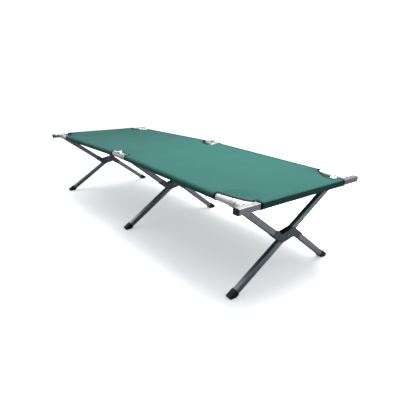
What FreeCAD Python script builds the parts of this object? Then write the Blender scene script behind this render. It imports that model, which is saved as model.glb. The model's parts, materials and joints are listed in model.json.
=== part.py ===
"""Folding cot: two hinged pairs of rails on three scissor leg frames, with a canvas bed.

X runs along the bed and +X is its head end.  Y runs across it and +Y is the back rail.
Z is up and the origin is on the floor, midway between the two ends.

Each half of the cot is drawn level, with the middle hinge's pin above x = 0.  The whole half
is then tilted about that pin, so that the rails fall slightly towards each end of the bed.
"""
import FreeCAD, Part
import os
import re
from types import SimpleNamespace

from FreeCAD import Placement, Rotation, Vector

# ------------------------------------------------------------------ driving dimensions (mm)
SIZES = {
    # rails
    "rail_od": 26.0,
    "rail_wall": 1.3,
    "rail_spacing": 640.0,
    "rail_height": 416.0,
    "rail_start": 1.0,
    "rail_end": 920.1,
    "rail_tilt_deg": 1.22,
    # end bars and the pegs that carry them
    "bar_x": 936.0,
    "bar_wide": 28.0,
    "bar_deep": 25.0,
    "bar_wall": 1.6,
    "bar_corner": 4.5,
    "bar_overhang": 47.0,
    "bar_cap": 4.0,
    "cap_plug": 14.0,
    "plug_insert": 22.0,
    "plug_flange": 1.5,
    "peg_radius": 4.0,
    "peg_length": 3.6,
    "peg_slack": 0.5,
    "peg_slot": 8.5,
    # middle hinge
    "hinge_rise": 18.6,
    "hinge_wide": 20.0,
    "hinge_leaf_top": 17.2,
    "hinge_leaf_bottom": 5.0,
    "hinge_leaf_length": 60.0,
    "hinge_leaf_start": 6.5,
    "knuckle_radius": 5.0,
    "knuckle_half": 3.4,
    "hinge_pin_radius": 2.5,
    "hinge_slack": 0.3,
    "open_pivot_slack": 1.2,
    # leg frames
    "frame_x_middle": 30.0,
    "frame_x_end": 873.0,
    "pivot_height": 213.5,
    "leg_deep": 27.0,
    "leg_wall": 1.4,
    "leg_corner": 3.5,
    "back_leg_wide": 22.0,
    "front_leg_wide": 25.0,
    "split_offset": 28.5,
    "split_start": 36.0,
    "leg_top_gap": 17.0,
    "end_back_angle": 32.3,
    "end_front_angle": 36.5,
    "mid_back_angle": 34.0,
    "mid_front_angle": 38.2,
    # crossing
    "plate_thick": 1.8,
    "plate_reach": 86.0,
    "plate_inner": 18.0,
    "lip_start": 33.0,
    "flange_deep": 9.0,
    "channel_thick": 1.2,
    "channel_half": 34.0,
    "pivot_radius": 4.0,
    "pivot_slack": 0.1,
    "head_radius": 6.5,
    "head_thick": 2.2,
    # saddles
    "saddle_slack": 0.3,
    "saddle_wall": 1.8,
    "cheek_thick": 2.0,
    "cheek_length": 50.0,
    "rivet_radius": 2.6,
    "rivet_head": 4.6,
    "rivet_head_thick": 1.4,
    "rivet_from_end": 14.0,
    # floor caps
    "cap_length": 40.0,
    "cap_wall": 2.6,
    "cap_corner": 5.0,
    "cap_toe": 27.0,
    "tube_lift": 24.0,
    # canvas
    "cloth": 1.2,
    "cloth_gap": 0.2,
    "notch_half": 75.0,
    "notch_depth": 42.0,
    "corner_x": 778.0,
    "corner_half": 265.0,
    "bed_half": 313.0,
    "bed_start": 0.6,
    "bed_end": 920.0,
    "end_sleeve_half": 257.0,
}

doc = FreeCAD.newDocument("FoldingCot")
sheet = doc.addObject("Spreadsheet::Sheet", "Sizes")
for row, (alias, size) in enumerate(SIZES.items(), start=1):
    sheet.set("A%d" % row, alias)
    sheet.set("B%d" % row, str(size))
    sheet.setAlias("B%d" % row, alias)
doc.recompute()
S = SimpleNamespace(**{alias: float(sheet.get(alias)) for alias in SIZES})

HERE = Placement()
X_AXIS, Y_AXIS, Z_AXIS = Vector(1, 0, 0), Vector(0, 1, 0), Vector(0, 0, 1)
HALVES = {"head": 1, "foot": -1}
SIDES = {"back": 1, "front": -1}
sub_parts = {}


# ------------------------------------------------------------------ drawing helpers
def bound(formula):
    """A formula in the sheet's aliases, written the way setExpression reads it."""
    return re.sub(r"[a-z]\w*", r"Sizes.\g<0>", formula)


def primitive(kind, name, **formulas):
    piece = doc.addObject("Part::" + kind, name)
    for size, formula in formulas.items():
        piece.setExpression(size, bound(formula))
    piece.recompute()
    return piece


def box(name, frame, centre, along_x, along_y, along_z):
    """A box about a centre, in the given frame."""
    piece = primitive("Box", name, Length=along_x, Width=along_y, Height=along_z)
    half = Vector(piece.Length.Value, piece.Width.Value, piece.Height.Value) / 2
    piece.Placement = frame * Placement(centre - half, Rotation())
    return piece


def rod(name, frame, centre, axis, radius, length):
    """A cylinder about a centre, with its axis along the given direction."""
    piece = primitive("Cylinder", name, Radius=radius, Height=length)
    turn = Rotation(Z_AXIS, axis)
    start = centre - turn.multVec(Z_AXIS) * (piece.Height.Value / 2)
    piece.Placement = frame * Placement(start, turn)
    return piece


def rounded(name, frame, centre, direction, corner, along_x, along_y, along_z):
    """A box whose edges along one direction are rounded."""
    base = box(name + "_box", frame, centre, along_x, along_y, along_z)
    world = frame.Rotation.multVec(direction)
    piece = doc.addObject("Part::Fillet", name)
    piece.Base = base
    edges = []
    for number, edge in enumerate(base.Shape.Edges, start=1):
        run = (edge.Vertexes[1].Point - edge.Vertexes[0].Point).normalize()
        if abs(run.dot(world)) > 0.99:
            edges.append((number, corner, corner))
    piece.Edges = edges
    piece.recompute()
    return piece


def joined(name, pieces):
    if len(pieces) == 1:
        return pieces[0]
    result = doc.addObject("Part::MultiFuse", name)
    result.Shapes = pieces
    result.Refine = True
    return result


def cut(name, base, tools):
    result = doc.addObject("Part::Cut", name)
    result.Base = base
    result.Tool = joined(name + "_tools", tools)
    return result


def group(name, pieces):
    """Separate solids that share one node."""
    result = doc.addObject("Part::Compound", name)
    result.Links = pieces
    return result


def finish(label, piece, frame):
    """Names a sub-part and moves it with its half of the cot."""
    piece.recompute()
    piece.Placement = frame * piece.Placement
    piece.Label = label
    sub_parts[label] = piece


def spot(half, x, y, rise):
    """A point of one half: x outwards from the middle, rise above the rails' axis."""
    return Vector(HALVES[half] * x, y, S.rail_height + rise)


def half_frame(half):
    pin = Vector(0, 0, S.rail_height + S.hinge_rise)
    tilt = Rotation(Y_AXIS, HALVES[half] * S.rail_tilt_deg)
    return Placement(pin, tilt) * Placement(-pin, Rotation())


# ------------------------------------------------------------------ rails
def make_rail(half, side):
    y = SIDES[side] * S.rail_spacing / 2
    middle = spot(half, (S.rail_start + S.rail_end) / 2, y, 0)
    name = "%s_rail_%s" % (side, half)
    outer = rod(name + "_outer", HERE, middle, X_AXIS, "rail_od / 2", "rail_end - rail_start")
    bore = rod(name + "_bore", HERE, middle, X_AXIS, "rail_od / 2 - rail_wall", "rail_end")
    finish(name, cut(name, outer, [bore]), half_frame(half))


def make_end_plug(half, side):
    """Plug in the rail's outer end, with the peg that the end bar hangs on."""
    y = SIDES[side] * S.rail_spacing / 2
    name = "%s_end_plug_%s" % (side, half)
    flange_end = S.rail_end + S.plug_flange
    stem = rod(name + "_stem", HERE, spot(half, S.rail_end - S.plug_insert / 2, y, 0), X_AXIS,
               "rail_od / 2 - rail_wall", "plug_insert")
    flange = rod(name + "_flange", HERE, spot(half, S.rail_end + S.plug_flange / 2, y, 0), X_AXIS,
                 "rail_od / 2", "plug_flange")
    peg = rod(name + "_peg", HERE, spot(half, flange_end + S.peg_length / 2, y, 0), X_AXIS,
              "peg_radius", "peg_length")
    finish(name, joined(name, [stem, flange, peg]), half_frame(half))


# ------------------------------------------------------------------ middle hinge
def make_hinge_leaf(half, side):
    """Cast leaf over the rail's inner end; the head half's leaf bridges the leg saddle."""
    y = SIDES[side] * S.rail_spacing / 2
    name = "%s_hinge_leaf_%s" % (side, half)
    length = S.hinge_leaf_length - S.hinge_leaf_start
    block_x = S.hinge_leaf_start + length / 2
    block_rise = (S.hinge_leaf_top + S.hinge_leaf_bottom) / 2
    block = rounded(name + "_block", HERE, spot(half, block_x, y, block_rise), X_AXIS, 5.0,
                    "hinge_leaf_length - hinge_leaf_start", "hinge_wide",
                    "hinge_leaf_top - hinge_leaf_bottom")
    tongue_bottom = S.hinge_rise - S.knuckle_radius
    tongue_rise = (tongue_bottom + S.hinge_leaf_top) / 2
    outer_wide = "hinge_wide / 2 - knuckle_half - hinge_slack"
    if half == "head":
        offset = (S.hinge_wide / 2 + S.knuckle_half + S.hinge_slack) / 2
        knuckles = [(offset, outer_wide), (-offset, outer_wide)]
    else:
        knuckles = [(0.0, "2 * knuckle_half")]
    solids = [block]
    for number, (shift, wide) in enumerate(knuckles):
        barrel = rod("%s_barrel%d" % (name, number), HERE, spot(half, 0, y + shift, S.hinge_rise),
                     Y_AXIS, "knuckle_radius", wide)
        tongue = box("%s_tongue%d" % (name, number), HERE,
                     spot(half, (S.hinge_leaf_start + 1) / 2, y + shift, tongue_rise),
                     "hinge_leaf_start + 1", wide, "hinge_leaf_top - hinge_rise + knuckle_radius")
        solids += [barrel, tongue]
    slack = "hinge_pin_radius"
    if half == "foot":
        slack += " + open_pivot_slack" if side == "front" else " + hinge_slack"
    hollows = [rod(name + "_seat", HERE, spot(half, S.hinge_leaf_length / 2, y, 0), X_AXIS,
                   "rail_od / 2", "2 * hinge_leaf_length"),
               rod(name + "_eye", HERE, spot(half, 0, y, S.hinge_rise), Y_AXIS, slack,
                   "2 * hinge_wide")]
    if half == "head":
        groove = rod(name + "_groove", HERE, spot(half, S.frame_x_middle, y, 0), X_AXIS,
                     "rail_od / 2 + saddle_slack + saddle_wall + saddle_slack",
                     "front_leg_wide + 2 * cheek_thick + 6 * saddle_slack")
        hollows.append(groove)
    finish(name, cut(name, joined(name + "_solid", solids), hollows), half_frame(half))


def make_hinge_pin(side):
    y = SIDES[side] * S.rail_spacing / 2
    name = "%s_hinge_pin" % side
    centre = spot("head", 0, y, S.hinge_rise)
    solids = [rod(name + "_shank", HERE, centre, Y_AXIS, "hinge_pin_radius", "hinge_wide")]
    for end in (1, -1):
        head = centre + Y_AXIS * (end * (S.hinge_wide + S.rivet_head_thick) / 2)
        solids.append(rod("%s_head%d" % (name, end > 0), HERE, head, Y_AXIS, "rivet_head",
                          "rivet_head_thick"))
    finish(name, joined(name, solids), half_frame("head"))


# ------------------------------------------------------------------ leg frames
def leg_frame(half, place, side):
    """Local frame of a leg at the crossing: Z runs up the leg and X stays along the bed."""
    x, back_angle, front_angle = S.frame_x_end, S.end_back_angle, S.end_front_angle
    if place == "middle":
        x, back_angle, front_angle = S.frame_x_middle, S.mid_back_angle, S.mid_front_angle
    lean = back_angle - 90 if side == "back" else 90 - front_angle
    return Placement(Vector(HALVES[half] * x, 0, S.pivot_height), Rotation(X_AXIS, lean))


def rail_in_leg(half, place, side):
    """The rail's axis, seen in the leg's frame."""
    frame = leg_frame(half, place, side)
    rail = Vector(frame.Base.x, SIDES[side] * S.rail_spacing / 2, S.rail_height)
    return frame.inverse().multVec(rail)


def floor_in_leg(half, place, side, line):
    """Distance down the leg, on the line y = line, at which it meets the floor."""
    frame = half_frame(half) * leg_frame(half, place, side)
    start = frame.multVec(Vector(0, line, 0))
    drop = frame.Rotation.multVec(Z_AXIS).z
    return -start.z / drop


def under_floor(name, half):
    """A block whose top face is the floor, placed so that the half's tilt brings it level."""
    block = box(name, HERE, Vector(0, 0, -100), "3 * bar_x", "2 * rail_spacing", "200")
    block.Placement = half_frame(half).inverse() * block.Placement
    return block


def leg_tube(name, frame, offset, low, high, wide, holes):
    """Rounded rectangular tube along Z from low to high, drilled across at the given heights."""
    centre = Vector(0, offset, (low + high) / 2)
    length = "%.4f" % (high - low)
    outer = rounded(name + "_outer", frame, centre, Z_AXIS, S.leg_corner, wide, "leg_deep", length)
    bore = rounded(name + "_bore", frame, centre, Z_AXIS, S.leg_corner - S.leg_wall,
                   wide + " - 2 * leg_wall", "leg_deep - 2 * leg_wall", length + " + leg_deep")
    drills = [rod("%s_drill%d" % (name, number), frame, Vector(0, offset, z), X_AXIS, radius,
                  "2 * front_leg_wide") for number, (z, radius) in enumerate(holes)]
    return cut(name, outer, [bore] + drills)


def tube_end(half, place, side):
    """Height in the leg's frame at which its tube stops below the rail's axis."""
    return rail_in_leg(half, place, side).z - S.leg_top_gap


def make_back_leg(half, place):
    """One straight tube from the back rail to the front foot."""
    frame = leg_frame(half, place, "back")
    high = tube_end(half, place, "back")
    low = floor_in_leg(half, place, "back", 0) + S.tube_lift
    holes = [(0, "pivot_radius + pivot_slack"), (high - S.rivet_from_end, "rivet_radius")]
    name = "back_leg_%s" % place
    finish(name, leg_tube(name, frame, 0, low, high, "back_leg_wide", holes), half_frame(half))
    make_floor_cap(half, place, "back", 0, low, "back_leg_wide")


def make_front_leg(half, place):
    """Two parallel tubes, one each side of the back leg's line, joined by the crossing plates."""
    frame = leg_frame(half, place, "front")
    high = tube_end(half, place, "front")
    low = floor_in_leg(half, place, "front", S.split_offset) + S.tube_lift
    rivet_z = S.plate_reach - S.rivet_from_end
    name = "front_leg_upper_%s" % place
    holes = [(rivet_z, "rivet_radius"), (high - S.rivet_from_end, "rivet_radius")]
    tube = leg_tube(name, frame, -S.split_offset, S.split_start, high, "front_leg_wide", holes)
    finish(name, tube, half_frame(half))
    name = "front_leg_lower_%s" % place
    tube = leg_tube(name, frame, S.split_offset, low, -S.split_start, "front_leg_wide",
                    [(-rivet_z, "rivet_radius")])
    finish(name, tube, half_frame(half))
    make_floor_cap(half, place, "front", S.split_offset, low, "front_leg_wide")


def make_floor_cap(half, place, side, offset, low, wide):
    """Rubber cap on the leg's lower end, cut level where it stands on the floor."""
    frame = leg_frame(half, place, side)
    name = "%s_leg_cap_%s" % (side, place)
    centre = Vector(0, offset, low - S.cap_toe + S.cap_length / 2)
    shell = rounded(name + "_shell", frame, centre, Z_AXIS, S.cap_corner, wide + " + 2 * cap_wall",
                    "leg_deep + 2 * cap_wall", "cap_length")
    inside = Vector(0, offset, low + S.cap_length / 2)
    pocket = rounded(name + "_pocket", frame, inside, Z_AXIS, S.leg_corner, wide, "leg_deep",
                     "cap_length")
    floor = under_floor(name + "_floor", half)
    finish(name, cut(name, shell, [pocket, floor]), half_frame(half))


def make_saddle(half, place, side):
    """Strap round the rail with two cheeks that hold the leg's end."""
    frame = leg_frame(half, place, side)
    rail = rail_in_leg(half, place, side)
    offset = 0 if side == "back" else -S.split_offset
    wide = "%s_leg_wide" % side
    outside = wide + " + 2 * cheek_thick"
    name = "%s_saddle_%s" % (side, place)
    end = tube_end(half, place, side)
    low = end - S.cheek_length + S.leg_top_gap
    strap = rod(name + "_strap", frame, rail, X_AXIS, "rail_od / 2 + saddle_slack + saddle_wall",
                outside)
    reach = end + 3.0 - low
    grip = rounded(name + "_grip", frame, Vector(0, offset, low + reach / 2), X_AXIS, 5.0,
                   outside, "leg_deep - 2", "%.4f" % reach)
    link_from = Vector(0, offset, end - S.rivet_from_end)
    link_run = rail - link_from
    turn = Rotation(Z_AXIS, link_run)
    link_frame = frame * Placement((rail + link_from) / 2, turn)
    link = box(name + "_link", link_frame, Vector(), outside, "leg_deep - 4",
               "%.4f" % link_run.Length)
    hole = rod(name + "_hole", frame, rail, X_AXIS, "rail_od / 2 + saddle_slack",
               "2 * front_leg_wide")
    slot = box(name + "_slot", frame, Vector(0, offset, end - S.cheek_length), wide,
               "2 * leg_deep", "2 * cheek_length")
    pin = rod(name + "_drill", frame, Vector(0, offset, end - S.rivet_from_end), X_AXIS,
              "rivet_radius", "2 * front_leg_wide")
    body = cut(name + "_body", joined(name + "_solid", [strap, grip, link]), [slot, pin])
    ring = rod(name + "_ring", frame, rail, X_AXIS, "rail_od / 2 + saddle_slack + saddle_wall", wide)
    whole = joined(name + "_whole", [body, ring])
    finish(name, cut(name, whole, [hole]), half_frame(half))


def rivet(name, frame, centre, span):
    """Rivet along X through a stack of the given width, with a head on each side."""
    shank = rod(name + "_shank", frame, centre, X_AXIS, "rivet_radius", span)
    solids = [shank]
    for end in (1, -1):
        head = centre + X_AXIS * (end * (shank.Height.Value + S.rivet_head_thick) / 2)
        solids.append(rod("%s_head%d" % (name, end > 0), frame, head, X_AXIS, "rivet_head",
                          "rivet_head_thick"))
    return joined(name, solids)


def make_rivets(half, places, side):
    """All the rivets of one side's legs in one half."""
    rivets = []
    for place in places:
        frame = leg_frame(half, place, side)
        offset = 0
        if side == "front":
            offset = -S.split_offset
            reach = S.plate_reach - S.rivet_from_end
            for number, way in enumerate((1, -1)):
                centre = Vector(0, way * offset, way * reach)
                rivets.append(rivet("plate_rivet_%s_%d" % (place, number), frame, centre,
                                    "front_leg_wide + 2 * plate_thick"))
        top = tube_end(half, place, side) - S.rivet_from_end
        rivets.append(rivet("%s_saddle_rivet_%s" % (side, place), frame, Vector(0, offset, top),
                            "%s_leg_wide + 2 * cheek_thick" % side))
    name = "%s_leg_rivets_%s" % (side, half)
    finish(name, group(name, rivets), half_frame(half))


# ------------------------------------------------------------------ crossing
def crossing_plate(name, frame, face):
    """One Z-shaped plate beside the crossing, with a lip over each tube's outer edge."""
    x = face * (S.front_leg_wide + S.plate_thick) / 2
    lobe = "plate_reach - plate_inner"
    solids = []
    for number, way in enumerate((1, -1)):
        y = -way * S.split_offset
        middle = way * (S.plate_reach + S.plate_inner) / 2
        solids.append(box("%s_lobe%d" % (name, number), frame, Vector(x, y, middle),
                          "plate_thick", "leg_deep + 2 * plate_thick", lobe))
        edge = y - way * (S.leg_deep + S.plate_thick) / 2
        lip_x = face * (S.front_leg_wide / 2 - S.flange_deep / 2)
        lip_middle = way * (S.plate_reach + S.lip_start) / 2
        solids.append(box("%s_lip%d" % (name, number), frame, Vector(lip_x, edge, lip_middle),
                          "flange_deep", "plate_thick", "plate_reach - lip_start"))
    link_end = Vector(0, S.split_offset, -(S.plate_inner + 8))
    link_frame = frame * Placement(Vector(x, 0, 0), Rotation(Z_AXIS, link_end))
    solids.append(box(name + "_link", link_frame, Vector(), "plate_thick", "1.55 * leg_deep",
                      "%.4f" % (2 * link_end.Length)))
    hole = rod(name + "_hole", frame, Vector(x, 0, 0), X_AXIS, "pivot_radius", "2 * leg_deep")
    drills = [rod("%s_drill%d" % (name, number), frame,
                  Vector(x, -way * S.split_offset, way * (S.plate_reach - S.rivet_from_end)),
                  X_AXIS, "rivet_radius", "2 * leg_deep") for number, way in enumerate((1, -1))]
    return cut(name, joined(name + "_solid", solids), [hole] + drills)


def make_crossing(half, place):
    """Plates on the front leg, a channel on the back leg and the pin through both."""
    frame = leg_frame(half, place, "front")
    name = "crossing_plates_%s" % place
    plates = [crossing_plate("%s_%s" % (name, word), frame, face)
              for word, face in (("head_side", 1), ("foot_side", -1))]
    finish(name, group(name, plates), half_frame(half))

    back = leg_frame(half, place, "back")
    name = "crossing_channel_%s" % place
    sleeve = rounded(name + "_outer", back, Vector(), Z_AXIS, S.leg_corner + S.channel_thick,
                     "back_leg_wide + 2 * channel_thick", "leg_deep + 2 * channel_thick",
                     "2 * channel_half")
    bore = rounded(name + "_bore", back, Vector(), Z_AXIS, S.leg_corner, "back_leg_wide", "leg_deep",
                   "3 * channel_half")
    hole = rod(name + "_hole", back, Vector(), X_AXIS, "pivot_radius + pivot_slack", "2 * leg_deep")
    finish(name, cut(name, sleeve, [bore, hole]), half_frame(half))

    name = "pivot_pin_%s" % place
    shank = rod(name + "_shank", back, Vector(), X_AXIS, "pivot_radius",
                "front_leg_wide + 2 * plate_thick")
    solids = [shank]
    for end in (1, -1):
        head = X_AXIS * (end * (shank.Height.Value + S.head_thick) / 2)
        solids.append(rod("%s_head%d" % (name, end > 0), back, head, X_AXIS, "head_radius",
                          "head_thick"))
    finish(name, joined(name, solids), half_frame(half))


# ------------------------------------------------------------------ end bars
def make_end_bar(half):
    """Square-rounded tube across the end; a slotted hole lets the front peg draw in."""
    name = "end_bar_%s" % half
    centre = spot(half, S.bar_x, 0, 0)
    length = "rail_spacing + 2 * bar_overhang"
    outer = rounded(name + "_outer", HERE, centre, Y_AXIS, S.bar_corner, "bar_wide", length,
                    "bar_deep")
    bore = rounded(name + "_bore", HERE, centre, Y_AXIS, S.bar_corner - S.bar_wall,
                   "bar_wide - 2 * bar_wall", length + " + 20", "bar_deep - 2 * bar_wall")
    inner_face = S.bar_x - S.bar_wide / 2
    back_hole = rod(name + "_hole", HERE, spot(half, inner_face, S.rail_spacing / 2, 0), X_AXIS,
                    "peg_radius + peg_slack", "bar_corner")
    slot_y = -S.rail_spacing / 2
    slot = [rod(name + "_slot_end", HERE, spot(half, inner_face, slot_y, 0), X_AXIS,
                "peg_radius + peg_slack", "bar_corner"),
            rod(name + "_slot_far", HERE, spot(half, inner_face, slot_y + S.peg_slot, 0), X_AXIS,
                "peg_radius + peg_slack", "bar_corner"),
            box(name + "_slot_mid", HERE, spot(half, inner_face, slot_y + S.peg_slot / 2, 0),
                "bar_corner", "peg_slot", "2 * (peg_radius + peg_slack)")]
    finish(name, cut(name, outer, [bore, back_hole] + slot), half_frame(half))

    name = "end_bar_caps_%s" % half
    caps = []
    for word, way in SIDES.items():
        end = way * (S.rail_spacing / 2 + S.bar_overhang)
        face = rounded("%s_%s_face" % (name, word), HERE,
                       spot(half, S.bar_x, end + way * S.bar_cap / 2, 0), Y_AXIS, S.bar_corner,
                       "bar_wide", "bar_cap", "bar_deep")
        plug = rounded("%s_%s_plug" % (name, word), HERE,
                       spot(half, S.bar_x, end - way * S.cap_plug / 2, 0), Y_AXIS,
                       S.bar_corner - S.bar_wall, "bar_wide - 2 * bar_wall", "cap_plug",
                       "bar_deep - 2 * bar_wall")
        caps.append(joined("%s_%s" % (name, word), [face, plug]))
    finish(name, group(name, caps), half_frame(half))


# ------------------------------------------------------------------ canvas
def make_bed_sheet(half):
    """The bed's flat canvas, narrower at the middle hinge and towards the end sleeve."""
    name = "sheet_%s" % half
    rise = S.rail_od / 2 + S.cloth_gap + S.cloth / 2
    strips = [
        ("middle", S.bed_start, S.notch_half, "notch_half - bed_start",
         "2 * (rail_spacing / 2 - notch_depth)"),
        ("main", S.notch_half, S.corner_x, "corner_x - notch_half", "2 * bed_half"),
        ("end", S.corner_x, S.bed_end, "bed_end - corner_x", "2 * corner_half"),
    ]
    solids = [box("%s_%s" % (name, word), HERE, spot(half, (start + stop) / 2, 0, rise),
                  length, wide, "cloth") for word, start, stop, length, wide in strips]
    finish(name, joined(name, solids), half_frame(half))


def make_side_sleeve(half, side):
    y = SIDES[side] * S.rail_spacing / 2
    name = "%s_sleeve_%s" % (side, half)
    centre = spot(half, (S.notch_half + S.corner_x) / 2, y, 0)
    outer = rod(name + "_outer", HERE, centre, X_AXIS, "rail_od / 2 + cloth_gap + cloth",
                "corner_x - notch_half")
    bore = rod(name + "_bore", HERE, centre, X_AXIS, "rail_od / 2 + cloth_gap", "corner_x")
    flat = box(name + "_flat", HERE, spot(half, S.rail_end / 2, 0, S.rail_od), "rail_end",
               "2 * bed_half + 2 * cloth_gap", "rail_od")
    finish(name, cut(name, outer, [bore, flat]), half_frame(half))


def make_end_sleeve(half):
    name = "end_sleeve_%s" % half
    centre = spot(half, S.bar_x, 0, 0)
    outer = rounded(name + "_outer", HERE, centre, Y_AXIS, S.bar_corner + S.cloth,
                    "bar_wide + 2 * (cloth_gap + cloth)", "2 * end_sleeve_half",
                    "bar_deep + 2 * (cloth_gap + cloth)")
    bore = rounded(name + "_bore", HERE, centre, Y_AXIS, S.bar_corner,
                   "bar_wide + 2 * cloth_gap", "3 * end_sleeve_half", "bar_deep + 2 * cloth_gap")
    finish(name, cut(name, outer, [bore]), half_frame(half))


# ------------------------------------------------------------------ assembly
LEG_PLACES = {"head": ["middle", "head"], "foot": ["foot"]}

for half in HALVES:
    for side in SIDES:
        make_rail(half, side)
        make_end_plug(half, side)
        make_hinge_leaf(half, side)
        make_side_sleeve(half, side)
        make_rivets(half, LEG_PLACES[half], side)
    for place in LEG_PLACES[half]:
        make_back_leg(half, place)
        make_front_leg(half, place)
        make_saddle(half, place, "back")
        make_saddle(half, place, "front")
        make_crossing(half, place)
    make_end_bar(half)
    make_end_sleeve(half)
    make_bed_sheet(half)
for side in SIDES:
    make_hinge_pin(side)

doc.recompute()

# ------------------------------------------------------------------ checks and export
for item in doc.Objects:
    if "Invalid" in item.State or "Error" in item.State:
        raise RuntimeError("%s did not build: %s" % (item.Name, item.State))
for label, item in sub_parts.items():
    if item.Shape.isNull() or not item.Shape.isValid() or not item.Shape.Solids:
        raise RuntimeError("%s has no valid solid" % label)

os.makedirs("parts", exist_ok=True)
for label, item in sub_parts.items():
    item.Shape.exportStep(os.path.join("parts", label + ".step"))
    bounds = item.Shape.BoundBox
    print("%-26s %d solid(s) %9.1f mm3  x %.1f..%.1f y %.1f..%.1f z %.1f..%.1f" % (
        label, len(item.Shape.Solids), item.Shape.Volume, bounds.XMin, bounds.XMax,
        bounds.YMin, bounds.YMax, bounds.ZMin, bounds.ZMax))
print(len(sub_parts), "sub-parts")
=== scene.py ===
import json
import math

import bmesh
import bpy
import numpy as np
from mathutils import Matrix, Vector, noise


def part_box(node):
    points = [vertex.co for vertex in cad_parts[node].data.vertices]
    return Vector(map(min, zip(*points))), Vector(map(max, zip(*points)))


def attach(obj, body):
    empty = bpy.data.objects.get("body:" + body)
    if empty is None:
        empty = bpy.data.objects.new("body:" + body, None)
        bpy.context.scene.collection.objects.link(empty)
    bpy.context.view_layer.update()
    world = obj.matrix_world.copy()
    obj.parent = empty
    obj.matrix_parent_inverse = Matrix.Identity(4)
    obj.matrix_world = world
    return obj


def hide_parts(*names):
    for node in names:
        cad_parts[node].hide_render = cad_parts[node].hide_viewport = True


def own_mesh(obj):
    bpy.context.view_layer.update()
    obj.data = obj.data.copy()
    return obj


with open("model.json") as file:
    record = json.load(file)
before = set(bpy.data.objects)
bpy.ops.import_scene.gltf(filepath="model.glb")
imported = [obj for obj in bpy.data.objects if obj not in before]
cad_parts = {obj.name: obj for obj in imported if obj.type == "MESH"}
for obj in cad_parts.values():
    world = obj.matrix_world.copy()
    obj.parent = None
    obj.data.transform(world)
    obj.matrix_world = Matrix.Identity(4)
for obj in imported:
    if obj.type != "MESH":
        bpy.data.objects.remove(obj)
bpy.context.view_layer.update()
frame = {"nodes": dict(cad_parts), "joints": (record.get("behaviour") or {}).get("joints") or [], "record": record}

joints = {joint["name"]: joint for joint in frame["joints"]}

# ------------------------------------------------------------------ sizes, in metres
MM = 0.001
CLOTH = 1.1 * MM               # thickness of one layer of canvas
CLOTH_GAP = 0.25 * MM          # between the canvas and the tube inside it
LAYER_GAP = 0.1 * MM           # between a sleeve's top layer and the sheet under it
FLAP_GAP = 2.3 * MM            # between the sheet and a sleeve's lower layer
BED_SAG = 1.8 * MM
SAG_FADE = 0.30                # length beside the end bar in which the sag fades out
FLAP_IN = 29.0 * MM            # end of a sleeve's lower layer, from the rail's or bar's axis
STITCH_IN = 27.5 * MM          # inner of two stitch lines, from the same axis
SHEET_EDGE_IN = 5.0 * MM       # the sheet's edge, from the rail's or bar's axis
HEM_IN = 11.0 * MM             # inner edge of a sleeve's top layer, from the rail's axis
HEM_LIFT = 1.25 * MM
NOTCH_DROOP = 13.0 * MM        # how far the free edges of the cut-outs hang
CORNER_DROOP = 12.5 * MM
EDGE_TAPE = 18.0 * MM          # widths of the binding, on cut-outs and round sleeve ends
RING_TAPE = 12.0 * MM
TAPE_THICK = 2.8 * MM
TAPE_ROUND = 0.45              # the tape's corner radius, as a share of its thickness
TAPE_LAP = 1 * MM              # how far the binding runs past a cut-out
TAPE_SHORT = 7 * MM            # how far it stops before the sheet's end
TAPE_STEP = 4 * MM
STITCH_LONG = 3.4 * MM
STITCH_STEP = 5.0 * MM
STITCH_THICK = 0.75 * MM
STITCH_SIDES = 6
# place along a stitch, depth under the cloth and width, as shares of its length and thickness
STITCH_RINGS = ((-0.5, 0.75, 0.7), (-0.25, 0.1, 1.0), (0.25, 0.1, 1.0), (0.5, 0.75, 0.7))
STITCH_SUNK = 0.2 * MM
STITCH_ROWS = (0, 5 * MM)      # the two rows, outwards from the inner one
RAIL_STITCH_SHORT = 4 * MM     # how far the rows stop before a sleeve's ends
BAR_STITCH_SHORT = 5 * MM
DENT_DEEP = 0.7 * MM           # dent that a seam pulls into the canvas
DENT_WIDE = 2.2 * MM
DROOP_REACH = 0.055            # how far in from a cut-out the canvas hangs
NOTCH_BEND = 3                 # powers that round the outline of the middle cut-outs
NOTCH_CORNER = 0.6
CORNER_RUN = 0.45              # share of a corner cut-out in which its edge turns inwards
CORNER_BEND = 0.55
DROOP_BEND = 0.8               # power that flattens the hang along a corner cut-out
# height, waves along and across in a metre, and place in the noise
RIPPLES = ((0.7 * MM, 4.0, 16.0, 1.3), (0.4 * MM, 11.0, 30.0, 7.1))
PULL_HIGH = 1.4 * MM           # folds that fan out from where a cut-out meets a sleeve
PULL_FOLDS = 9
PULL_TURN = 2                  # phase of the folds, in radians
PULL_REACH = 0.055
PULL_START = 0.02
FREE_EDGE_FADE = 0.05          # widths in which ripples and folds fade out
BAR_FADE = 0.04
SHEET_STEPS = (0.009, 0.012)   # spacing of the sheet's points, along and across
LINE_SHIFTS = (-4.5, -2.2, 0, 2.2, 4.5)   # extra points beside a line, in mm
CLOSEST = 1.5 * MM             # least distance between two rows of points
CUT_LINES = (1 * MM, 9 * MM)   # lines of extra points beside the cut-outs' ends
WRAP_START, WRAP_END, WRAP_STEP = -20, 230, 10   # degrees round the rail from its top, outwards
HEM_FALL, HEM_RUN = 30, 40     # the hem comes down to the rail here, over this many degrees
BAR_TURN_STEP = 15             # degrees between points round the bar's corners
BAR_TOP_DIP = 0.6 * MM
STATION_AHEAD = 0.01           # short step along a sleeve, for its direction
# height, changes along and round in a metre and a step, and shift of the seed
RUFFLES = ((0.55 * MM, 9.0, 1.3, 0), (0.25 * MM, 38.0, 2.5, 4))
SIDE_SEED, HEAD_SEED, BAR_SEED = 3.0, 11, 21.0
RAIL_SLEEVE_ROWS = 90
BAR_SLEEVE_ROWS = 66
SHARP_EDGE = math.radians(40)  # edges that turn by more than this are shaded sharp


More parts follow.
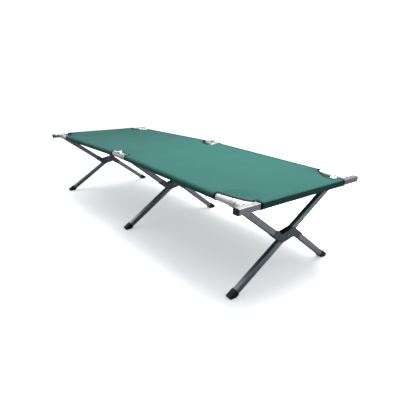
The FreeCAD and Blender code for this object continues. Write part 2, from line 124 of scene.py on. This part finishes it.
# ------------------------------------------------------------------ the two halves
class Half:
    """Coordinates of one half: x outwards from the middle hinge, y, z up from the rails' axis."""

    def __init__(self, name, sign, scissor):
        self.name = name
        pin = Vector(joints["mid_fold"]["pos_m"])
        axis = Vector(joints[scissor]["axis"]).normalized()
        rail = Vector(joints[scissor]["pos_m"])
        self.out = axis * sign
        self.up = axis.cross(Vector((0, 1, 0)))
        self.rail_y = rail.y
        self.origin = Vector((pin.x, 0, pin.z)) + self.up * (rail - pin).dot(self.up)

    def point(self, x, y, z):
        return self.origin + self.out * x + Vector((0, y, 0)) + self.up * z

    def along(self, node):
        """Nearest and furthest x of a CAD node in this half."""
        low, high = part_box(node)
        ends = [(x - self.origin.x) / self.out.x for x in (low[0], high[0])]
        return min(ends), max(ends)


HALVES = [Half("head", 1, "scissor"), Half("foot", -1, "foot_scissor")]
rail_low, rail_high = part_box("back_rail_head")
RAIL_Y = HALVES[0].rail_y
RAIL_R = (rail_high[1] - rail_low[1]) / 2
SLEEVE_START, SLEEVE_END = HALVES[0].along("back_sleeve_head")
BAR_X = sum(HALVES[0].along("end_bar_head")) / 2
END_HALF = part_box("end_sleeve_head")[1][1]
BAR_HALF_WIDE = 14.0 * MM
BAR_HALF_DEEP = 12.5 * MM
BAR_LOOP_CORNER = 5.0 * MM     # radius of the end sleeve round the bar's corners
SHEET_RISE = RAIL_R + CLOTH_GAP + CLOTH / 2
NOTCH_HALF_WIDTH = RAIL_Y - 44 * MM
CORNER_HALF_WIDTH = RAIL_Y - 40 * MM


def smooth(t):
    t = min(max(t, 0.0), 1.0)
    return t * t * (3 - 2 * t)


# ------------------------------------------------------------------ materials
MIX_FACTOR, MIX_FIRST, MIX_SECOND, MIX_RESULT = 0, 6, 7, 2   # sockets of a colour mix node
WAVE_LENGTH = 0.314            # a wave texture of scale 1 repeats after this many metres


class Nodes:
    """A material's node tree, with short calls for adding and linking nodes."""

    def __init__(self, name):
        self.material = bpy.data.materials.new(name)
        self.material.use_nodes = True
        self.tree = self.material.node_tree
        self.shader = self.tree.nodes["Principled BSDF"]

    def add(self, kind, **settings):
        node = self.tree.nodes.new("ShaderNode" + kind)
        for key, value in settings.items():
            if key in node.inputs:
                node.inputs[key].default_value = value
            else:
                setattr(node, key, value)
        return node

    def link(self, source, target):
        self.tree.links.new(source, target)

    def set(self, **values):
        for key, value in values.items():
            self.shader.inputs[key.replace("_", " ")].default_value = value

    def place(self, scale=(1, 1, 1)):
        """Object coordinates, scaled, so a pattern has a real size in metres."""
        coordinates = self.add("TexCoord")
        mapping = self.add("Mapping")
        mapping.inputs["Scale"].default_value = scale
        self.link(coordinates.outputs["Object"], mapping.inputs["Vector"])
        return mapping.outputs["Vector"]

    def noise(self, scale, detail=3.0, roughness=0.5, stretch=(1, 1, 1)):
        node = self.add("TexNoise", Scale=scale, Detail=detail, Roughness=roughness)
        self.link(self.place(stretch), node.inputs["Vector"])
        return node.outputs["Fac"]

    def wave(self, scale, direction, distortion=0.0):
        node = self.add("TexWave", Scale=scale, Distortion=distortion)
        node.bands_direction = direction
        self.link(self.place(), node.inputs["Vector"])
        return node.outputs["Fac"]

    def blend(self, first, second, factor, mode="MIX"):
        """Mixes two colours, or a colour and a socket, by a factor or socket."""
        node = self.add("Mix")
        node.data_type = "RGBA"
        node.blend_type = mode
        for value, spot in ((factor, MIX_FACTOR), (first, MIX_FIRST), (second, MIX_SECOND)):
            if isinstance(value, bpy.types.NodeSocket):
                self.link(value, node.inputs[spot])
            else:
                node.inputs[spot].default_value = value
        return node.outputs[MIX_RESULT]

    def ramp(self, value, low, high, start=0.0, stop=1.0):
        node = self.add("MapRange")
        node.inputs["From Min"].default_value = start
        node.inputs["From Max"].default_value = stop
        node.inputs["To Min"].default_value = low
        node.inputs["To Max"].default_value = high
        self.link(value, node.inputs["Value"])
        return node.outputs["Result"]

    def math(self, operation, first, second):
        node = self.add("Math", operation=operation)
        for value, spot in ((first, 0), (second, 1)):
            if isinstance(value, bpy.types.NodeSocket):
                self.link(value, node.inputs[spot])
            else:
                node.inputs[spot].default_value = value
        return node.outputs["Value"]

    def bump(self, layers):
        """Bumps in order, each a height socket, a strength and a depth in metres."""
        normal = None
        for height, strength, depth in layers:
            node = self.add("Bump", Strength=strength, Distance=depth)
            self.link(height, node.inputs["Height"])
            if normal is not None:
                self.link(normal, node.inputs["Normal"])
            normal = node.outputs["Normal"]
        self.link(normal, self.shader.inputs["Normal"])


def woven(name, colour, thread, pitch, sheen=0.12):
    """Plain weave of the given pitch, with slubs, faded patches and a soft nap."""
    mat = Nodes(name)
    per_metre = 1.0 / pitch
    warp = mat.wave(per_metre * WAVE_LENGTH, "X")
    weft = mat.wave(per_metre * WAVE_LENGTH, "Y")
    weave = mat.math("MULTIPLY", warp, weft)
    patches = mat.noise(5.0, 4.0)
    slubs = mat.noise(90.0, 2.0, stretch=(1, 0.08, 1))
    fine = mat.noise(700.0, 2.0)
    base = mat.blend(colour, thread, mat.ramp(patches, 0.0, 0.45, 0.35, 0.7))
    base = mat.blend(base, (0.92, 0.94, 0.93, 1), mat.ramp(slubs, 0.0, 0.25, 0.45, 0.75), "MULTIPLY")
    base = mat.blend(base, (0.72, 0.76, 0.75, 1), mat.ramp(weave, 0.35, 0.0, 0.0, 0.8), "MULTIPLY")
    mat.link(base, mat.shader.inputs["Base Color"])
    mat.link(mat.ramp(fine, 0.72, 0.9), mat.shader.inputs["Roughness"])
    mat.set(Sheen_Weight=sheen, Sheen_Roughness=0.5, Specular_IOR_Level=0.3)
    mat.bump([(mat.noise(14.0, 4.0), 0.35, 1.6 * MM), (slubs, 0.25, 0.25 * MM),
              (weave, 0.6, 0.12 * MM)])
    return mat.material


def metal(name, colour, roughness, streak, grain=0.25, direction=(1, 1, 0.02), dirt=0.1):
    """Drawn or brushed metal: long fine streaks, uneven polish and faint handling marks."""
    mat = Nodes(name)
    streaks = mat.noise(900.0, 3.0, 0.6, stretch=direction)
    broad = mat.noise(7.0, 5.0, 0.6)
    marks = mat.noise(60.0, 6.0, 0.7)
    dark = tuple(c * 0.78 for c in colour[:3]) + (1,)
    base = mat.blend(colour, dark, mat.ramp(streaks, 0.0, 0.5, 0.35, 0.75))
    base = mat.blend(base, (0.6, 0.6, 0.6, 1), mat.ramp(marks, 0.0, dirt, 0.5, 0.8), "MULTIPLY")
    mat.link(base, mat.shader.inputs["Base Color"])
    rough = mat.math("ADD", mat.ramp(broad, roughness - 0.06, roughness + 0.08, 0.3, 0.7),
                     mat.ramp(streaks, -streak, streak, 0.3, 0.7))
    mat.link(rough, mat.shader.inputs["Roughness"])
    mat.set(Metallic=1.0)
    mat.bump([(streaks, grain, 0.05 * MM), (marks, 0.12, 0.08 * MM)])
    return mat.material


def coated(name, colour, roughness, grain_scale, grain_depth, worn=None):
    """Moulded plastic or rubber: fine grain, and worn high spots where given."""
    mat = Nodes(name)
    grain = mat.noise(grain_scale, 3.0, 0.6)
    patches = mat.noise(18.0, 5.0, 0.6)
    lighter = tuple(min(c * 1.5 + 0.01, 1) for c in colour[:3]) + (1,)
    base = mat.blend(colour, lighter, mat.ramp(patches, 0.0, 0.6, 0.4, 0.75))
    if worn is not None:
        scuffs = mat.noise(120.0, 6.0, 0.75)
        base = mat.blend(base, worn, mat.ramp(scuffs, 0.0, 0.8, 0.64, 0.74))
    mat.link(base, mat.shader.inputs["Base Color"])
    mat.link(mat.ramp(patches, roughness - 0.08, roughness + 0.1, 0.3, 0.7),
             mat.shader.inputs["Roughness"])
    mat.bump([(grain, 0.4, grain_depth), (patches, 0.15, 0.3 * MM)])
    return mat.material


LOOKS = {
    "canvas": woven("canvas_weave", (0.018, 0.132, 0.108, 1), (0.025, 0.158, 0.129, 1),
                    pitch=1.1 * MM, sheen=0.05),
    "rail_aluminium": metal("rail_metal", (0.94, 0.95, 0.97, 1), roughness=0.34, streak=0.05,
                            direction=(0.02, 1, 1)),
    "bar_aluminium": metal("bar_metal", (0.56, 0.57, 0.58, 1), roughness=0.36, streak=0.06,
                           direction=(1, 0.02, 1)),
    "leg_aluminium": metal("leg_metal", (0.50, 0.53, 0.56, 1), roughness=0.34, streak=0.06,
                           direction=(1, 0.05, 0.05), dirt=0.05),
    "bracket_metal": metal("bracket_metal", (0.17, 0.205, 0.215, 1), roughness=0.36, streak=0.05,
                           direction=(1, 0.1, 0.1)),
    "strap_metal": metal("strap_metal", (0.78, 0.80, 0.83, 1), roughness=0.30, streak=0.05,
                         direction=(1, 1, 0.1)),
    "rivet_steel": metal("rivet_metal", (0.42, 0.43, 0.45, 1), roughness=0.34, streak=0.04,
                         direction=(1, 1, 1)),
    "dark_plastic": coated("cap_plastic", (0.020, 0.026, 0.045, 1), roughness=0.38,
                           grain_scale=900.0, grain_depth=0.04 * MM),
    "black_rubber": coated("cap_rubber", (0.015, 0.017, 0.023, 1), roughness=0.42,
                           grain_scale=700.0, grain_depth=0.08 * MM,
                           worn=(0.035, 0.036, 0.040, 1)),
}
TAPE = woven("binding_tape", (0.010, 0.013, 0.024, 1), (0.014, 0.018, 0.032, 1), pitch=0.8 * MM,
             sheen=0.05)
THREAD = woven("sewing_thread", (0.032, 0.150, 0.118, 1), (0.045, 0.180, 0.145, 1),
               pitch=0.5 * MM)

for part in frame["record"]["subparts"]:
    cad = frame["nodes"][part["node"]]
    cad.data.materials.clear()
    cad.data.materials.append(LOOKS[part["material_slot"]])


# ------------------------------------------------------------------ mesh building
def solid(name, points, faces, material):
    """A mesh object with its normals turned outwards."""
    mesh = bpy.data.meshes.new(name)
    mesh.from_pydata([tuple(p) for p in points], [], faces)
    work = bmesh.new()
    work.from_mesh(mesh)
    bmesh.ops.recalc_face_normals(work, faces=work.faces)
    for edge in work.edges:
        edge.smooth = len(edge.link_faces) == 2 and edge.calc_face_angle() < SHARP_EDGE
    work.to_mesh(mesh)
    work.free()
    for face in mesh.polygons:
        face.use_smooth = True
    mesh.materials.append(material)
    piece = bpy.data.objects.new(name, mesh)
    bpy.context.collection.objects.link(piece)
    return piece


def joined(name, parts, material):
    """One piece from several lists of points and faces."""
    points, faces = [], []
    for part_points, part_faces in parts:
        start = len(points)
        points += list(part_points)
        faces += [tuple(i + start for i in face) for face in part_faces]
    return solid(name, points, faces, material)


def grid_faces(rows, columns, wrap=False):
    """Quads between successive rows of points; wrap closes each row into a ring."""
    faces = []
    for row in range(rows - 1):
        for column in range(columns if wrap else columns - 1):
            beside = (column + 1) % columns
            faces.append((row * columns + column, row * columns + beside,
                          (row + 1) * columns + beside, (row + 1) * columns + column))
    return faces


def thick_cloth(rows, columns, top, bottom):
    """Closed cloth from two grids of points, joined round the edge."""
    count = rows * columns
    faces = grid_faces(rows, columns)
    faces += [tuple(i + count for i in reversed(face)) for face in grid_faces(rows, columns)]
    rim = list(range(columns))
    rim += [r * columns + columns - 1 for r in range(1, rows)]
    rim += [(rows - 1) * columns + c for c in range(columns - 2, -1, -1)]
    rim += [r * columns for r in range(rows - 2, 0, -1)]
    for first, second in zip(rim, rim[1:] + rim[:1]):
        faces.append((second, first, first + count, second + count))
    return list(top) + list(bottom), faces


def ribbon(path, normals, wide, thick):
    """Points and faces of a soft-edged tape that follows a path."""
    outline = []
    for corner_x, corner_y, start in ((1, 1, 0), (-1, 1, 90), (-1, -1, 180), (1, -1, 270)):
        for step in (0, 45, 90):
            angle = math.radians(start + step)
            round_off = thick * TAPE_ROUND
            outline.append((corner_x * (wide / 2 - round_off) + round_off * math.cos(angle),
                            corner_y * (thick / 2 - round_off) + round_off * math.sin(angle)))
    points = []
    last = len(path) - 1
    for index, (spot, normal) in enumerate(zip(path, normals)):
        run = (path[min(index + 1, last)] - path[max(index - 1, 0)]).normalized()
        side = run.cross(normal).normalized()
        points += [spot + side * across + normal * rise for across, rise in outline]
    ring = len(outline)
    faces = grid_faces(len(path), ring, wrap=True)
    faces += [tuple(range(ring)), tuple(range(last * ring, len(points)))]
    return points, faces


def stitch_row(spots, normals):
    """Separate stitches, each a short thread whose ends dip into the cloth."""
    points, faces = [], []
    sides = STITCH_SIDES
    for spot, normal, ahead in zip(spots, normals, spots[1:]):
        run = (ahead - spot).normalized()
        side = run.cross(normal).normalized()
        start = len(points)
        for share, depth, width in STITCH_RINGS:
            middle = spot + run * (share * STITCH_LONG)
            dip = STITCH_THICK * depth
            radius = STITCH_THICK / 2 * width
            for number in range(sides):
                angle = 2 * math.pi * number / sides
                points.append(middle - normal * dip + side * (radius * math.cos(angle))
                              + normal * (radius * math.sin(angle)))
        tube = grid_faces(len(STITCH_RINGS), sides, wrap=True)
        faces += [tuple(i + start for i in face) for face in tube]
        faces += [tuple(range(start, start + sides)),
                  tuple(range(len(points) - sides, len(points)))]
    return points, faces


# ------------------------------------------------------------------ bed sheet
SHEET_END = BAR_X - SHEET_EDGE_IN


def half_width(x):
    """The sheet's half width: cut in at the middle hinge and round the corners."""
    full = RAIL_Y - SHEET_EDGE_IN
    if x < SLEEVE_START:
        return full - (full - NOTCH_HALF_WIDTH) * (1 - (x / SLEEVE_START) ** NOTCH_BEND) ** NOTCH_CORNER
    if x < SLEEVE_END:
        return full
    share = (x - SLEEVE_END) / (SHEET_END - SLEEVE_END)
    corner = CORNER_HALF_WIDTH - (CORNER_HALF_WIDTH - END_HALF) * share
    return full - (full - corner) * min(1.0, share / CORNER_RUN) ** CORNER_BEND


def droop(x, y):
    """How far the canvas hangs beside a cut-out, where nothing holds its edge."""
    inwards = (half_width(x) - abs(y)) / DROOP_REACH
    reach = math.exp(-inwards * inwards)
    if x < SLEEVE_START:
        return NOTCH_DROOP * (1 - (x / SLEEVE_START) ** 2) * reach
    if x > SLEEVE_END:
        share = (x - SLEEVE_END) / (SHEET_END - SLEEVE_END)
        return CORNER_DROOP * math.sin(math.pi * min(share, 1.0)) ** DROOP_BEND * reach
    return 0.0


def sheet_spot(half, x, y, lift=0.0):
    """A point of the canvas: a slight sag that fades out at the end bar, ripples, folds, dents."""
    width = half_width(x)
    across = max(0.0, 1 - (y / RAIL_Y) ** 2)
    sag = BED_SAG * across * smooth((BAR_X - BAR_HALF_WIDE - x) / SAG_FADE)
    edge = smooth((width - abs(y)) / FREE_EDGE_FADE)
    world_x = x if half.name == "head" else -x
    ripple = 0.0
    for high, along, across_rate, offset in RIPPLES:
        ripple += high * noise.noise(Vector((world_x * along, y * across_rate, offset)))
    pull = 0.0
    for pull_x, pull_y in ((SLEEVE_START, NOTCH_HALF_WIDTH), (SLEEVE_END, CORNER_HALF_WIDTH)):
        reach = math.hypot(x - pull_x, abs(y) - pull_y)
        turn = math.atan2(abs(y) - pull_y, x - pull_x)
        fold = math.sin(PULL_FOLDS * turn + PULL_TURN)
        pull += PULL_HIGH * fold * math.exp(-reach / PULL_REACH) * smooth(reach / PULL_START)
    seam = 0.0
    for place, line in ((abs(y), RAIL_Y - STITCH_IN), (x, BAR_X - STITCH_IN)):
        seam -= DENT_DEEP * math.exp(-((place - line) / DENT_WIDE) ** 2)
    edge *= smooth((BAR_X - BAR_HALF_WIDE - x) / BAR_FADE)
    height = SHEET_RISE + lift - sag - droop(x, y) + (ripple + pull + seam) * edge
    return half.point(x, y, height)


def fine_steps(start, stop, step, lines):
    """Values from start to stop, closer together beside the given lines."""
    values = list(np.linspace(start, stop, max(2, int(round((stop - start) / step)) + 1)))
    for line in lines:
        values += [line + shift * MM for shift in LINE_SHIFTS]
    values = sorted(v for v in values if start <= v <= stop)
    kept = [values[0]]
    for value in values[1:]:
        if value - kept[-1] > CLOSEST:
            kept.append(value)
    kept[-1] = stop
    return kept


def make_sheet(half):
    """The bed canvas of one half, with points close together beside cut-outs and seams."""
    lines = [BAR_X - STITCH_IN]
    for apart in CUT_LINES:
        lines += [SLEEVE_START - apart, SLEEVE_END + apart]
    xs = fine_steps(0.0, SHEET_END, SHEET_STEPS[0], lines)
    full = RAIL_Y - SHEET_EDGE_IN
    stitch = RAIL_Y - STITCH_IN
    shares = [y / full for y in fine_steps(-full, full, SHEET_STEPS[1], [-stitch, stitch])]
    top, bottom = [], []
    for x in xs:
        for share in shares:
            y = share * half_width(x)
            top.append(sheet_spot(half, x, y, CLOTH / 2))
            bottom.append(sheet_spot(half, x, y, -CLOTH / 2))
    points, faces = thick_cloth(len(xs), len(shares), top, bottom)
    return solid("bed_sheet_" + half.name, points, faces, LOOKS["canvas"])


def edge_tapes(half):
    """Binding along the sheet's cut-outs, at the middle hinge and at the corners."""
    parts = []
    for side in (1, -1):
        for start, stop in ((0.0, SLEEVE_START + TAPE_LAP),
                            (SLEEVE_END - TAPE_LAP, SHEET_END - TAPE_SHORT)):
            steps = max(6, int((stop - start) / TAPE_STEP))
            xs = [start + (stop - start) * i / steps for i in range(steps + 1)]
            path = [sheet_spot(half, x, side * half_width(x)) for x in xs]
            parts.append(ribbon(path, [half.up] * len(path), EDGE_TAPE, TAPE_THICK))
    return joined("edge_binding_" + half.name, parts, TAPE)


def sheet_stitches(half):
    """Two rows along each side sleeve's inner edge, and along the end sleeve's."""
    parts = []
    lift = CLOTH / 2 - STITCH_SUNK
    for side in (1, -1):
        for row in STITCH_ROWS:
            y = side * (RAIL_Y - STITCH_IN + row)
            xs = np.arange(SLEEVE_START + RAIL_STITCH_SHORT, SLEEVE_END - RAIL_STITCH_SHORT,
                           STITCH_STEP)
            spots = [sheet_spot(half, x, y, lift) for x in xs]
            parts.append(stitch_row(spots, [half.up] * len(spots)))
    for row in STITCH_ROWS:
        ys = np.arange(-END_HALF + BAR_STITCH_SHORT, END_HALF - BAR_STITCH_SHORT, STITCH_STEP)
        spots = [sheet_spot(half, BAR_X - STITCH_IN + row, y, lift) for y in ys]
        parts.append(stitch_row(spots, [half.up] * len(spots)))
    return joined("bed_stitches_" + half.name, parts, THREAD)


# ------------------------------------------------------------------ sleeves
def crest(lift):
    """Height of a sleeve's top layer, where it lies on the sheet."""
    return RAIL_R + CLOTH_GAP + CLOTH * 1.5 + LAYER_GAP + lift


def with_flap(loop, shares, lift):
    """A section with its lower layer added, running inwards under the sheet."""
    start = loop[-1]
    flap_end = (-FLAP_IN, SHEET_RISE - CLOTH - FLAP_GAP - lift)
    return loop + [(start[0] + (flap_end[0] - start[0]) * share,
                    start[1] + (flap_end[1] - start[1]) * share) for share in shares]


def rail_loop(lift=0.0):
    """A side sleeve's section, as (distance outwards from the rail's axis, height)."""
    radius = RAIL_R + CLOTH_GAP + CLOTH / 2 + lift
    loop = [(-HEM_IN, crest(lift))]
    for degrees in range(WRAP_START, WRAP_END + 1, WRAP_STEP):
        angle = math.radians(degrees)
        raised = HEM_LIFT * smooth((HEM_FALL - degrees) / HEM_RUN)
        loop.append(((radius + raised) * math.sin(angle), (radius + raised) * math.cos(angle)))
    return with_flap(loop, (0.3, 0.6, 0.85, 1.0), lift)


def bar_loop(lift=0.0):
    """An end sleeve's section, as (distance outwards from the bar's axis, height)."""
    wide = BAR_HALF_WIDE + CLOTH_GAP + CLOTH / 2 + lift
    deep = BAR_HALF_DEEP + CLOTH_GAP + CLOTH / 2 + lift
    corner = BAR_LOOP_CORNER
    loop = [(-HEM_IN, crest(lift)), (0.0, max(deep, crest(lift) - BAR_TOP_DIP))]
    for centre_x, centre_z, start in ((1, 1, 0), (1, -1, 90), (-1, -1, 180)):
        for step in range(0, 91, BAR_TURN_STEP):
            angle = math.radians(start + step)
            loop.append((centre_x * (wide - corner) + corner * math.sin(angle),
                         centre_z * (deep - corner) + corner * math.cos(angle)))
    return with_flap(loop, (0.35, 0.7, 1.0), lift)


def ruffle(along, turn, seed):
    """Small uneven fullness of a sewn sleeve."""
    fullness = 0.0
    for high, along_rate, round_rate, shift in RUFFLES:
        spot = Vector((along * along_rate, turn * round_rate, seed + shift))
        fullness += high * noise.noise(spot)
    return fullness


def make_sleeve(name, stations, place, section, seed):
    """Cloth tube along stations; place(station, outwards, height) gives a point."""
    inner, outer = section(-CLOTH / 2), section(CLOTH / 2)
    columns = len(inner)
    rows = {"in": [], "out": []}
    for station in stations:
        for index in range(columns):
            swell = abs(ruffle(station, index, seed)) * (0 if index in (0, columns - 1) else 1)
            for key, loop in (("in", inner), ("out", outer)):
                outward, height = loop[index]
                length = math.hypot(outward, height)
                rows[key].append(place(station, outward * (1 + swell / length),
                                       height * (1 + swell / length)))
    points, faces = thick_cloth(len(stations), columns, rows["out"], rows["in"])
    return solid(name, points, faces, LOOKS["canvas"])


def loop_tape(station, place, section):
    """Binding round one end of a sleeve."""
    loop = section(0.0)
    path = [place(station, outward, height) for outward, height in loop]
    normals = []
    for index in range(len(path)):
        run = path[min(index + 1, len(path) - 1)] - path[max(index - 1, 0)]
        along = (place(station + STATION_AHEAD, *loop[index]) - path[index]).normalized()
        normals.append(run.cross(along).normalized())
    return ribbon(path, normals, RING_TAPE, TAPE_THICK)


def side_place(half, side):
    return lambda x, outward, height: half.point(x, side * (RAIL_Y + outward), height)


def end_place(half):
    return lambda y, outward, height: half.point(BAR_X + outward, y, height)


def length_of(loop):
    return sum(math.dist(a, b) for a, b in zip(loop, loop[1:]))


# ------------------------------------------------------------------ canvas, piece by piece
def gather(piece, body, half):
    """Rides on the back rail's body, with a mesh of its own."""
    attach(piece, body)
    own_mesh(piece)


for half in HALVES:
    back, front = half.name + "_back", half.name + "_front"
    bed = make_sheet(half)
    tapes = edge_tapes(half)
    threads = sheet_stitches(half)
    for piece in (bed, tapes, threads):
        gather(piece, back, half)
    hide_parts("sheet_" + half.name)

    for side, body, word in ((1, back, "back"), (-1, front, "front")):
        place = side_place(half, side)
        stations = list(np.linspace(SLEEVE_START, SLEEVE_END, RAIL_SLEEVE_ROWS))
        seed = SIDE_SEED * side + (HEAD_SEED if half.name == "head" else 0)
        sleeve = make_sleeve("%s_side_sleeve_%s" % (word, half.name), stations, place, rail_loop,
                             seed)
        tape = joined("%s_sleeve_binding_%s" % (word, half.name),
                      [loop_tape(SLEEVE_START, place, rail_loop),
                       loop_tape(SLEEVE_END, place, rail_loop)], TAPE)
        for piece in (sleeve, tape):
            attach(piece, body)
        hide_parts("%s_sleeve_%s" % (word, half.name))
        length_of(rail_loop())

    place = end_place(half)
    stations = list(np.linspace(-END_HALF, END_HALF, BAR_SLEEVE_ROWS))
    sleeve = make_sleeve("bar_sleeve_" + half.name, stations, place, bar_loop,
                         BAR_SEED)
    tape = joined("bar_sleeve_binding_" + half.name,
                  [loop_tape(-END_HALF, place, bar_loop), loop_tape(END_HALF, place, bar_loop)],
                  TAPE)
    for piece in (sleeve, tape):
        gather(piece, back, half)
    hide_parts("end_sleeve_" + half.name)
    length_of(bar_loop())


# ------------------------------------------------------------------ stage, light and camera
FLOOR_REACH = 14.0
FLOOR_LIT = (0.30, 0.31, 0.32, 1)      # the floor's colour to reflections and bounced light
FLOOR_SEEN = (1.5, 1.5, 1.5, 1)        # and its colour and glow to the camera only
FLOOR_GLOW = 0.35
BRIGHT_SIDE = (-0.62, 0.50, 0.60)      # where the studio is brightest
STUDIO_DARK = (0.035, 0.042, 0.045, 1)
STUDIO_BRIGHT = (0.93, 0.96, 1.0, 1)
BACKDROP_SEEN = (2.0, 2.0, 2.0, 1)     # the studio's colour to the camera only
STUDIO_STRENGTH = 0.6
CAMERA_ANGLES = (51.24, 18.82, 1.15)   # azimuth, elevation and roll in degrees
CAMERA_AT = (1.7473, -1.1756, 0.8233)
FOCAL_PIXELS = 365.5
IMAGE_PIXELS = 400
SENSOR_WIDE = 36.0


def make_floor():
    """A floor that looks paler to the camera than the light it gives."""
    mesh = bpy.data.meshes.new("floor")
    reach = FLOOR_REACH
    mesh.from_pydata([(-reach, -reach, 0), (reach, -reach, 0), (reach, reach, 0),
                      (-reach, reach, 0)], [], [(0, 1, 2, 3)])
    paint = Nodes("floor_paint")
    seen = paint.add("LightPath")
    pale = paint.blend(FLOOR_LIT, FLOOR_SEEN, seen.outputs["Is Camera Ray"])
    glow = paint.ramp(seen.outputs["Is Camera Ray"], 0.0, FLOOR_GLOW)
    paint.link(pale, paint.shader.inputs["Base Color"])
    paint.link(glow, paint.shader.inputs["Emission Strength"])
    paint.set(Roughness=0.9, Emission_Color=(1, 1, 1, 1))
    mesh.materials.append(paint.material)
    floor = bpy.data.objects.new("floor", mesh)
    bpy.context.collection.objects.link(floor)


def make_light(name, place, target, power, wide, colour=(1, 1, 1)):
    """A square area lamp turned towards its target."""
    lamp = bpy.data.lights.new(name, "AREA")
    lamp.energy = power
    lamp.size = wide
    lamp.color = colour
    holder = bpy.data.objects.new(name, lamp)
    holder.location = place
    holder.rotation_euler = (Vector(target) - Vector(place)).to_track_quat("-Z", "Y").to_euler()
    bpy.context.collection.objects.link(holder)


def make_world():
    """A studio, bright above and behind the cot, darker on the camera's side, seen as white."""
    world = bpy.data.worlds.new("studio")
    world.use_nodes = True
    tree = world.node_tree
    background = tree.nodes["Background"]
    direction = tree.nodes.new("ShaderNodeTexCoord")
    away = tree.nodes.new("ShaderNodeVectorMath")
    away.operation = "DOT_PRODUCT"
    away.inputs[1].default_value = BRIGHT_SIDE
    shade = tree.nodes.new("ShaderNodeMapRange")
    shade.interpolation_type = "SMOOTHSTEP"
    for socket, value in (("From Min", -0.45), ("From Max", 0.45), ("To Min", 0.10),
                          ("To Max", 1.0)):
        shade.inputs[socket].default_value = value
    tint = tree.nodes.new("ShaderNodeMix")
    tint.data_type = "RGBA"
    tint.inputs[MIX_FIRST].default_value = STUDIO_DARK
    tint.inputs[MIX_SECOND].default_value = STUDIO_BRIGHT
    tree.links.new(direction.outputs["Generated"], away.inputs[0])
    tree.links.new(away.outputs["Value"], shade.inputs["Value"])
    seen = tree.nodes.new("ShaderNodeLightPath")
    white = tree.nodes.new("ShaderNodeMix")
    white.data_type = "RGBA"
    white.inputs[MIX_SECOND].default_value = BACKDROP_SEEN
    tree.links.new(shade.outputs["Result"], tint.inputs[MIX_FACTOR])
    tree.links.new(seen.outputs["Is Camera Ray"], white.inputs[MIX_FACTOR])
    tree.links.new(tint.outputs[MIX_RESULT], white.inputs[MIX_FIRST])
    tree.links.new(white.outputs[MIX_RESULT], background.inputs["Color"])
    background.inputs["Strength"].default_value = STUDIO_STRENGTH
    bpy.context.scene.world = world


def make_camera():
    """The camera, turned by its azimuth, elevation and roll."""
    azimuth, elevation, roll = (math.radians(v) for v in CAMERA_ANGLES)
    back = Vector((math.sin(azimuth) * math.cos(elevation),
                   -math.cos(azimuth) * math.cos(elevation), math.sin(elevation)))
    right = Vector((math.cos(azimuth), math.sin(azimuth), 0))
    up = back.cross(right)
    right, up = (math.cos(roll) * right + math.sin(roll) * up,
                 -math.sin(roll) * right + math.cos(roll) * up)
    camera = bpy.data.cameras.new("camera")
    camera.sensor_width = SENSOR_WIDE
    camera.lens = FOCAL_PIXELS * SENSOR_WIDE / IMAGE_PIXELS
    holder = bpy.data.objects.new("camera", camera)
    turn = Matrix((right, up, back)).transposed().to_4x4()
    holder.matrix_world = Matrix.Translation(CAMERA_AT) @ turn
    bpy.context.collection.objects.link(holder)
    bpy.context.scene.camera = holder


make_floor()
make_world()
make_light("top", place=(0.45, 0.30, 1.9), target=(0.35, 0.2, 0.4), power=40, wide=1.1,
           colour=(0.97, 0.99, 1.0))
make_light("key", place=(-2.3, 0.0, 2.2), target=(0, 0, 0.2), power=12, wide=1.8)
make_camera()
bpy.context.scene.view_settings.view_transform = "Standard"
